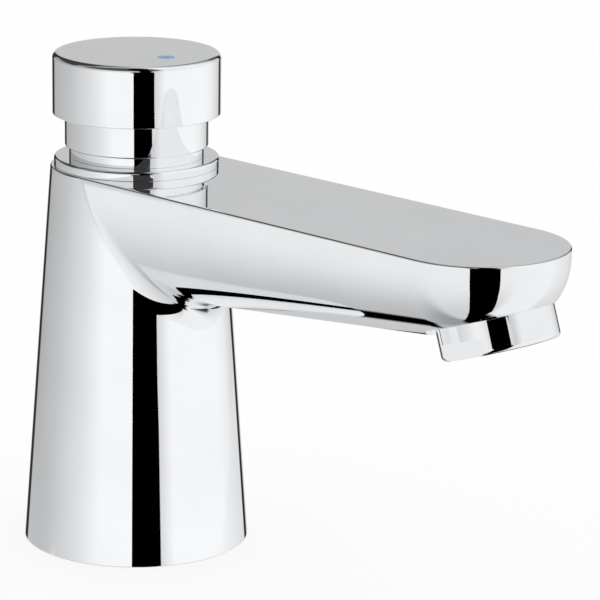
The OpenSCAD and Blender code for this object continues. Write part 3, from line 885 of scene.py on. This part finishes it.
def ranged(tree, value, low, high):
    """A field mapped to a range of values."""
    node = tree.nodes.new("ShaderNodeMapRange")
    for name, end in zip(("From Min", "From Max", "To Min", "To Max"), (*FIELD, low, high)):
        node.inputs[name].default_value = end
    tree.links.new(value, node.inputs["Value"])
    return node.outputs["Result"]


def tinted(tree, value, dark, light):
    """A field mapped to colours between a dark and a light one."""
    node = tree.nodes.new("ShaderNodeValToRGB")
    for element, position, colour in zip(node.color_ramp.elements, FIELD, (dark, light)):
        element.position = position
        element.color = (*colour, 1)
    tree.links.new(value, node.inputs["Fac"])
    return node.outputs["Color"]


def bumped(tree, shader, value, strength, distance):
    """Adds a bump from a field to the shader."""
    node = tree.nodes.new("ShaderNodeBump")
    node.inputs["Strength"].default_value = strength
    node.inputs["Distance"].default_value = distance
    tree.links.new(value, node.inputs["Height"])
    tree.links.new(node.outputs["Normal"], shader.inputs["Normal"])


def clouded(name, dark, light, rough, patch, grain, stretch=(1, 1, 1)):
    """A material with clouded colour and a fine grain in its gloss, with its tree, shader and grain."""
    made = bpy.data.materials.new(name)
    made.use_nodes = True
    tree = made.node_tree
    shader = tree.nodes["Principled BSDF"]
    cloud = noise(tree, patch, CLOUD_DETAIL, stretch)
    tree.links.new(tinted(tree, cloud, dark, light), shader.inputs["Base Color"])
    fine = noise(tree, grain, GRAIN_DETAIL, stretch)
    tree.links.new(ranged(tree, fine, *rough), shader.inputs["Roughness"])
    return made, tree, shader, fine


def metal(name, dark, light, rough, patch, grain, bump=0.0, stretch=(1, 1, 1)):
    """A metal with clouded colour and polish, and a fine grain."""
    made, tree, shader, fine = clouded(name, dark, light, rough, patch, grain, stretch)
    shader.inputs["Metallic"].default_value = 1.0
    if bump:
        bumped(tree, shader, fine, bump, METAL_BUMP)
    return made


def plastic(name, dark, light, rough, grain, bump):
    """A moulded plastic or rubber with slight colour and gloss variation and a fine grain."""
    made, tree, shader, fine = clouded(name, dark, light, rough, PLASTIC_CLOUD, grain)
    bumped(tree, shader, fine, bump, PLASTIC_BUMP)
    return made


FINISHES = {
    "chrome": metal(
        "chrome", dark=(0.89, 0.902, 0.918), light=(0.93, 0.942, 0.958),
        rough=(0.012, 0.035), patch=60, grain=900),
    "brass": metal(
        "brass", dark=(0.62, 0.46, 0.20), light=(0.76, 0.60, 0.30),
        rough=(0.20, 0.34), patch=120, grain=1500, bump=0.12, stretch=(1, 1, 6)),
    "steel": metal(
        "steel", dark=(0.46, 0.47, 0.49), light=(0.60, 0.61, 0.63),
        rough=(0.22, 0.36), patch=140, grain=1800, bump=0.10),
    "rubber": plastic(
        "rubber", dark=(0.012, 0.012, 0.013), light=(0.030, 0.030, 0.032),
        rough=(0.45, 0.70), grain=1600, bump=0.35),
    "acetal": plastic(
        "acetal", dark=(0.74, 0.74, 0.69), light=(0.84, 0.84, 0.80),
        rough=(0.35, 0.50), grain=1200, bump=0.15),
    "grey_plastic": plastic(
        "grey_plastic", dark=(0.20, 0.21, 0.23), light=(0.28, 0.29, 0.31),
        rough=(0.35, 0.50), grain=1200, bump=0.20),
    "blue": plastic(
        "blue", dark=(0.13, 0.27, 0.46), light=(0.18, 0.33, 0.54),
        rough=(0.25, 0.38), grain=1500, bump=0.10),
}

# Solids that stay, by their finish
STAYING = {
    "blue": ("cold_index",),
    "grey_plastic": ("cap_insert", "aerator_insert", "aerator_grid"),
    "steel": ("stem", "piston_clip", "circlip", "inlet_strainer"),
    "acetal": ("piston", "stem_bush", "gland_washer", "cartridge_housing", "flow_regulator"),
    "brass": ("valve_disc", "valve_nut", "timing_screw", "valve_seat"),
    "rubber": (
        "lip_seal", "valve_washer", "stem_o_ring", "upper_o_ring", "lower_o_ring", "aerator_gasket",
        "shank_o_ring",
    ),
}

# Pieces at and below the deck, which the chrome doesn't mirror
UNDER_DECK = (
    "inlet_shank", "shank_o_ring", "inlet_strainer", "base_gasket", "deck_gasket", "deck_washer", "backnut",
)


def finish(obj, node, slot):
    """Gives a node, or the piece in its place, the finish of a slot."""
    obj.data.materials.clear()
    obj.data.materials.append(FINISHES[slot])
    obj.visible_glossy = node not in UNDER_DECK


def dress_nodes():
    """Smooth shading and finishes for the solids that stay."""
    for slot, names in STAYING.items():
        for name in names:
            finish(smooth_mesh(frame["nodes"][name]), name, slot)


def add_piece(obj, node, body, slot):
    """Sets a dressed piece in the place of its solid."""
    finish(obj, node, slot)
    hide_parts(node)
    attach(obj, body)


# Camera: its direction from the tap, its distance and aim in millimetres, and its lens
CAM_AZ, CAM_EL, CAM_ROLL = math.radians(44.06), math.radians(14.91), math.radians(0.78)
CAM_FAR = 837.0
CAM_AIM = np.array((26.84, 28.84, 58.58))
CAM_LENS = 208.08
CAM_SENSOR = 36.0
CAM_CLIP_END = 20.0


def make_camera():
    """The photograph's view."""
    flat = math.cos(CAM_EL)
    back = np.array((math.sin(CAM_AZ) * flat, -math.cos(CAM_AZ) * flat, math.sin(CAM_EL)))
    right = np.cross((0, 0, 1), back)
    right = right / np.linalg.norm(right)
    up = np.cross(back, right)
    matrix = np.eye(4)
    matrix[:3, 0] = right * math.cos(CAM_ROLL) + up * math.sin(CAM_ROLL)
    matrix[:3, 1] = up * math.cos(CAM_ROLL) - right * math.sin(CAM_ROLL)
    matrix[:3, 2] = back
    matrix[:3, 3] = (CAM_AIM + CAM_FAR * back) * MM
    data = bpy.data.cameras.new("camera")
    data.lens = CAM_LENS
    data.sensor_width = CAM_SENSOR
    data.clip_end = CAM_CLIP_END
    camera = bpy.data.objects.new("camera", data)
    camera.matrix_world = matrix.T.tolist()
    bpy.context.scene.collection.objects.link(camera)
    bpy.context.scene.camera = camera


# Studio: directions in degrees around Z from the camera's side, positive to its right, and heights in degrees
TO_CAMERA = (math.sin(CAM_AZ), -math.cos(CAM_AZ), 0.0)
TO_RIGHT = (math.cos(CAM_AZ), math.sin(CAM_AZ), 0.0)
UP = (0.0, 0.0, 1.0)
HALF_TURN = 180.0

# Levels of the white boards around the tap by direction
BOARDS = (
    (-180, 0.645), (-146, 0.46), (-100, 0.585), (-60, 0.80), (-36, 1.0), (10, 1.0),
    (27, 0.72), (42, 1.0), (106, 1.0), (125, 0.92), (146, 0.70), (180, 0.645),
)
# Boards darken between two heights to a share, and to another one in a window of directions on the left
BOARD_RISE = (-4, 10)
BOARD_UPPER = 0.92
BOARD_LEFT = (-150, 0, 10)
BOARD_UPPER_LEFT = 0.74

# Levels of the table below the horizon by direction
TABLE = (
    (-180, 0.60), (-145, 0.86), (-92, 0.88), (-30, 0.92), (30, 0.90), (100, 0.95), (146, 0.80), (180, 0.60),
)
# The table darkens downwards in the same way, not at all on the right and more on the left
TABLE_FALL = (-14, -78)
TABLE_LOWER = 0.72
TABLE_RIGHT = (45, 112, 10)
TABLE_LOWER_RIGHT = 1.0
TABLE_LEFT = (-150, -75, 15)
TABLE_LOWER_LEFT = 0.38

# The table's far edge: crisp in front, spread downwards behind on the left, changing between two directions
HORIZON = -13.7
EDGE_SOFT = 0.4
EDGE_SPREAD = 9.0
EDGE_CHANGE = (-108, -91)

# Dark flags: direction from and to, height from and to, softness of the sides and of the ends, level
FLAGS = (
    (-85, 40, 28, 86, 8.0, 6.0, 0.08),
    (-24, 70, -95, -74, 6.0, 3.0, 0.0),
    (130, 185, -86, -46, 10.0, 4.0, 0.04),
    (-172, -95, 21, 62, 7.0, 5.0, 0.05),
    (142, 172, 18, 62, 8.0, 6.0, 0.25),
    (-166, -149, -38, 30, 2.5, 2.5, 0.03),
    (152, 164.5, -13.4, 30, 2.5, 0.3, 0.03),
    (-158, -139, -60, -44, 3.0, 3.0, 0.0),
)
# Straight below and straight above: heights between which the level changes, and the level there
NADIR = (-81, -86)
NADIR_LEVEL = 0.0
ZENITH = (78, 88)
ZENITH_LEVEL = 0.3


class Studio:
    """Node helpers for the trees of the world and its cards."""

    def __init__(self, tree):
        self.tree = tree

    def new(self, kind):
        """A new node."""
        return self.tree.nodes.new(kind)

    def feed(self, value, socket):
        """Sets a socket to a number, or links an output to it."""
        if isinstance(value, (int, float)):
            socket.default_value = value
        else:
            self.tree.links.new(value, socket)

    def math(self, operation, a, b=0.0):
        """The result of an operation on two values."""
        node = self.new("ShaderNodeMath")
        node.operation = operation
        self.feed(a, node.inputs[0])
        self.feed(b, node.inputs[1])
        return node.outputs[0]

    def along(self, vector, axis):
        """How far a vector goes along an axis."""
        node = self.new("ShaderNodeVectorMath")
        node.operation = "DOT_PRODUCT"
        self.feed(vector, node.inputs[0])
        node.inputs[1].default_value = axis
        return node.outputs["Value"]

    def step(self, value, low, high):
        """Rises softly from 0 at low to 1 at high."""
        node = self.new("ShaderNodeMapRange")
        node.interpolation_type = "SMOOTHSTEP"
        self.feed(value, node.inputs["Value"])
        self.feed(low, node.inputs["From Min"])
        self.feed(high, node.inputs["From Max"])
        return node.outputs["Result"]

    def window(self, value, low, high, soft):
        """1 between low and high, with soft ends."""
        rise = self.step(value, low - soft, low + soft)
        fall = self.step(value, high - soft, high + soft)
        return self.math("MULTIPLY", rise, self.math("SUBTRACT", 1.0, fall))

    def mix(self, share, a, b):
        """a where the share is 0, b where it is 1."""
        node = self.new("ShaderNodeMix")
        node.data_type = "FLOAT"
        self.feed(share, node.inputs[0])
        self.feed(a, node.inputs[2])
        self.feed(b, node.inputs[3])
        return node.outputs[0]

    def glow(self, level):
        """A shader that glows at a level."""
        node = self.new("ShaderNodeEmission")
        self.feed(level, node.inputs["Strength"])
        return node.outputs[0]

    def levels(self, turn, stops):
        """A level by direction, straight between the stops."""
        node = self.new("ShaderNodeValToRGB")
        ramp = node.color_ramp
        while len(ramp.elements) < len(stops):
            ramp.elements.new(0.5)
        for element, (degrees, level) in zip(ramp.elements, stops):
            element.position = (degrees + HALF_TURN) / (2 * HALF_TURN)
            element.color = (level, level, level, 1)
        self.feed(self.math("DIVIDE", self.math("ADD", turn, HALF_TURN), 2 * HALF_TURN), node.inputs["Fac"])
        return node.outputs["Color"]


def board_level(studio, turn, height):
    """Level of the boards, which darken upwards, more so on the left."""
    upper = studio.mix(studio.window(turn, *BOARD_LEFT), BOARD_UPPER, BOARD_UPPER_LEFT)
    share = studio.mix(studio.step(height, *BOARD_RISE), 1.0, upper)
    return studio.math("MULTIPLY", studio.levels(turn, BOARDS), share)


def table_level(studio, turn, height):
    """Level of the table, which darkens downwards, but not on the right and more so on the left."""
    lower = studio.mix(studio.window(turn, *TABLE_RIGHT), TABLE_LOWER, TABLE_LOWER_RIGHT)
    lower = studio.mix(studio.window(turn, *TABLE_LEFT), lower, TABLE_LOWER_LEFT)
    share = studio.mix(studio.step(height, *TABLE_FALL), 1.0, lower)
    return studio.math("MULTIPLY", studio.levels(turn, TABLE), share)


def studio_level(studio, turn, height):
    """Level of the whole studio by direction and height."""
    crisp = HORIZON - EDGE_SOFT
    edge = studio.mix(studio.step(turn, *EDGE_CHANGE), crisp - EDGE_SPREAD, crisp)
    above = studio.step(height, edge, HORIZON + EDGE_SOFT)
    level = studio.mix(above, table_level(studio, turn, height), board_level(studio, turn, height))
    for low, high, bottom, top, sides, ends, dark in FLAGS:
        across = studio.window(turn, low, high, sides)
        upright = studio.window(height, bottom, top, ends)
        level = studio.mix(studio.math("MULTIPLY", across, upright), level, dark)
    level = studio.mix(studio.step(height, *NADIR), level, NADIR_LEVEL)
    return studio.mix(studio.step(height, *ZENITH), level, ZENITH_LEVEL)


def make_world():
    """A studio of boards and flags for reflections, and plain white for the camera and the light."""
    world = bpy.data.worlds.new("studio")
    world.use_nodes = True
    studio = Studio(world.node_tree)
    way = studio.new("ShaderNodeTexCoord").outputs["Generated"]
    ahead, aside = studio.along(way, TO_CAMERA), studio.along(way, TO_RIGHT)
    turn = studio.math("DEGREES", studio.math("ARCTAN2", aside, ahead))
    height = studio.math("DEGREES", studio.math("ARCSINE", studio.along(way, UP)))
    mirrored = studio.new("ShaderNodeLightPath").outputs["Is Glossy Ray"]
    seen = studio.mix(mirrored, 1.0, studio_level(studio, turn, height))
    studio.feed(seen, world.node_tree.nodes["Background"].inputs["Color"])
    bpy.context.scene.world = world


# Black gap between the front boards, in millimetres: its plane's posts (towards the camera, to its right),
# and its left and right edges as (share of the way between the posts, height)
GAP_POSTS = ((527.0, -9.0), (1000.0, 497.0))
GAP_LEFT = (
    (-0.6, 9000), (-0.38, 2400), (-0.25, 870), (0.0, 500), (-0.02, 260), (-0.02, 195), (-0.085, 145),
    (-0.085, 104), (-0.011, 40), (-0.011, -300), (-0.04, -800), (-0.11, -1381), (-0.2, -1857),
    (-0.31, -2330), (-0.41, -2810), (-1.5, -8000),
)
GAP_RIGHT = (
    (4.4, -8000), (1.81, -2000), (1.33, -1000), (1.07, -150), (0.99, -112), (1.0, -58), (0.95, 100),
    (0.9, 205), (0.65, 240), (0.66, 276), (0.82, 306), (0.91, 319), (0.93, 340), (0.88, 420),
    (0.65, 820), (0.97, 2000), (1.6, 4000), (3.2, 9000),
)
# Dim wall in the gap for a first reflection: heights from and to, their softness, where it fades, its level
GAP_WALL = (196.0, 470.0, 6.0)
GAP_WALL_END = (45.0, 85.0)
GAP_FIRST = 0.45
# Dim wall for a second reflection: heights between which it sets in, its level
GAP_WALL_LOW = (120.0, 180.0)
GAP_SECOND = 0.04

# Dark post behind the column: its place towards the camera, and its edges to the right and in height
POST_AHEAD = -139.0
POST_ASIDE = (60.0, 97.0)
POST_HEIGHTS = (-90.0, 58.0)
POST_LEVEL = 0.03


def bare_material(name):
    """A material without a shader, with its node helper and the socket that takes one."""
    made = bpy.data.materials.new(name)
    made.use_nodes = True
    made.node_tree.nodes.clear()
    studio = Studio(made.node_tree)
    return made, studio, studio.new("ShaderNodeOutputMaterial").inputs["Surface"]


def gap_material():
    """Black with a band of dim wall, of which a second reflection shows less."""
    made, studio, surface = bare_material("dark_gap")
    spot = studio.new("ShaderNodeTexCoord").outputs["Object"]
    rise = studio.along(spot, np.array(UP) / MM)
    aside = studio.along(spot, np.array(TO_RIGHT) / MM)
    first = studio.mix(studio.step(aside, *GAP_WALL_END), GAP_FIRST, 0.0)
    first = studio.math("MULTIPLY", first, studio.window(rise, *GAP_WALL))
    second = studio.mix(studio.step(rise, *GAP_WALL_LOW), 0.0, GAP_SECOND)
    depth = studio.new("ShaderNodeLightPath").outputs["Glossy Depth"]
    level = studio.mix(studio.step(depth, 1.0, 2.0), first, second)
    studio.feed(studio.glow(level), surface)
    return made


def post_material():
    """Nearly black all over."""
    made, studio, surface = bare_material("dark_post")
    studio.feed(studio.glow(POST_LEVEL), surface)
    return made


def make_card(name, corners, made):
    """A card through corners (towards the camera, to its right, height) that only reflections see."""
    points = np.array(corners) @ np.array((TO_CAMERA, TO_RIGHT, UP))
    card = mesh_object(name, points, [range(len(points))])
    card.data.materials.append(made)
    card.visible_camera = False
    card.visible_diffuse = False
    card.visible_transmission = False
    card.visible_shadow = False


def make_gap():
    """The gap that the camera looks through."""
    first, last = np.array(GAP_POSTS)
    corners = [(*(first + share * (last - first)), height) for share, height in GAP_LEFT + GAP_RIGHT]
    make_card("gap", corners, gap_material())


def make_post():
    """The post behind the column, which draws the line down its right side."""
    (left, right), (low, high) = POST_ASIDE, POST_HEIGHTS
    outline = ((left, low), (right, low), (right, high), (left, high))
    make_card("post", [(POST_AHEAD, aside, height) for aside, height in outline], post_material())


# Floor: half its width in millimetres, its colour, and the part of the shadow that the camera sees on it
FLOOR_HALF = 2000.0
FLOOR_COLOUR = (0.97, 0.97, 0.97, 1)
FLOOR_SHADOW = 0.2


def floor_material():
    """Matt white that also glows for the camera, which leaves a part of the shadow."""
    made, studio, surface = bare_material("deck")
    matt = studio.new("ShaderNodeBsdfDiffuse")
    matt.inputs["Color"].default_value = FLOOR_COLOUR
    seen = studio.new("ShaderNodeLightPath").outputs["Is Camera Ray"]
    blend = studio.new("ShaderNodeMixShader")
    studio.feed(studio.math("MULTIPLY", seen, 1 - FLOOR_SHADOW), blend.inputs["Fac"])
    studio.feed(matt.outputs[0], blend.inputs[1])
    studio.feed(studio.glow(1.0), blend.inputs[2])
    studio.feed(blend.outputs[0], surface)
    return made


def make_floor():
    """A white deck around the tap that keeps a part of its shadow."""
    corners = [(-1, -1, 0), (1, -1, 0), (1, 1, 0), (-1, 1, 0)]
    floor = mesh_object("floor", np.array(corners) * FLOOR_HALF, [(0, 1, 2, 3)])
    floor.data.materials.append(floor_material())
    floor.visible_glossy = False


# Flat rings at the deck: piece, node, bore's radius, eased edge, slot
WASHERS = (
    ("base_seal", "base_gasket", BASE_SEAL_BORE_R, 0.4, "rubber"),
    ("deck_seal", "deck_gasket", DECK_BORE_R, 0.6, "rubber"),
    ("washer", "deck_washer", DECK_BORE_R, 0.3, "steel"),
)

dress_nodes()
add_piece(make_body(), "body", "tap", "chrome")
add_piece(make_cap(), "push_cap", "push_group", "chrome")
add_piece(make_ring(), "cover_ring", "tap", "chrome")
add_piece(make_sleeve(), "guide_sleeve", "tap", "chrome")
add_piece(make_aerator(), "aerator_housing", "tap", "chrome")
add_spring()
add_piece(make_shank(), "inlet_shank", "tap", "brass")
add_piece(make_backnut(), "backnut", "tap", "brass")
for piece, node, bore_r, edge_r, slot in WASHERS:
    add_piece(make_washer(piece, node, bore_r, edge_r), node, "tap", slot)
make_camera()
make_world()
make_gap()
make_post()
make_floor()
bpy.context.scene.view_settings.view_transform = "Standard"
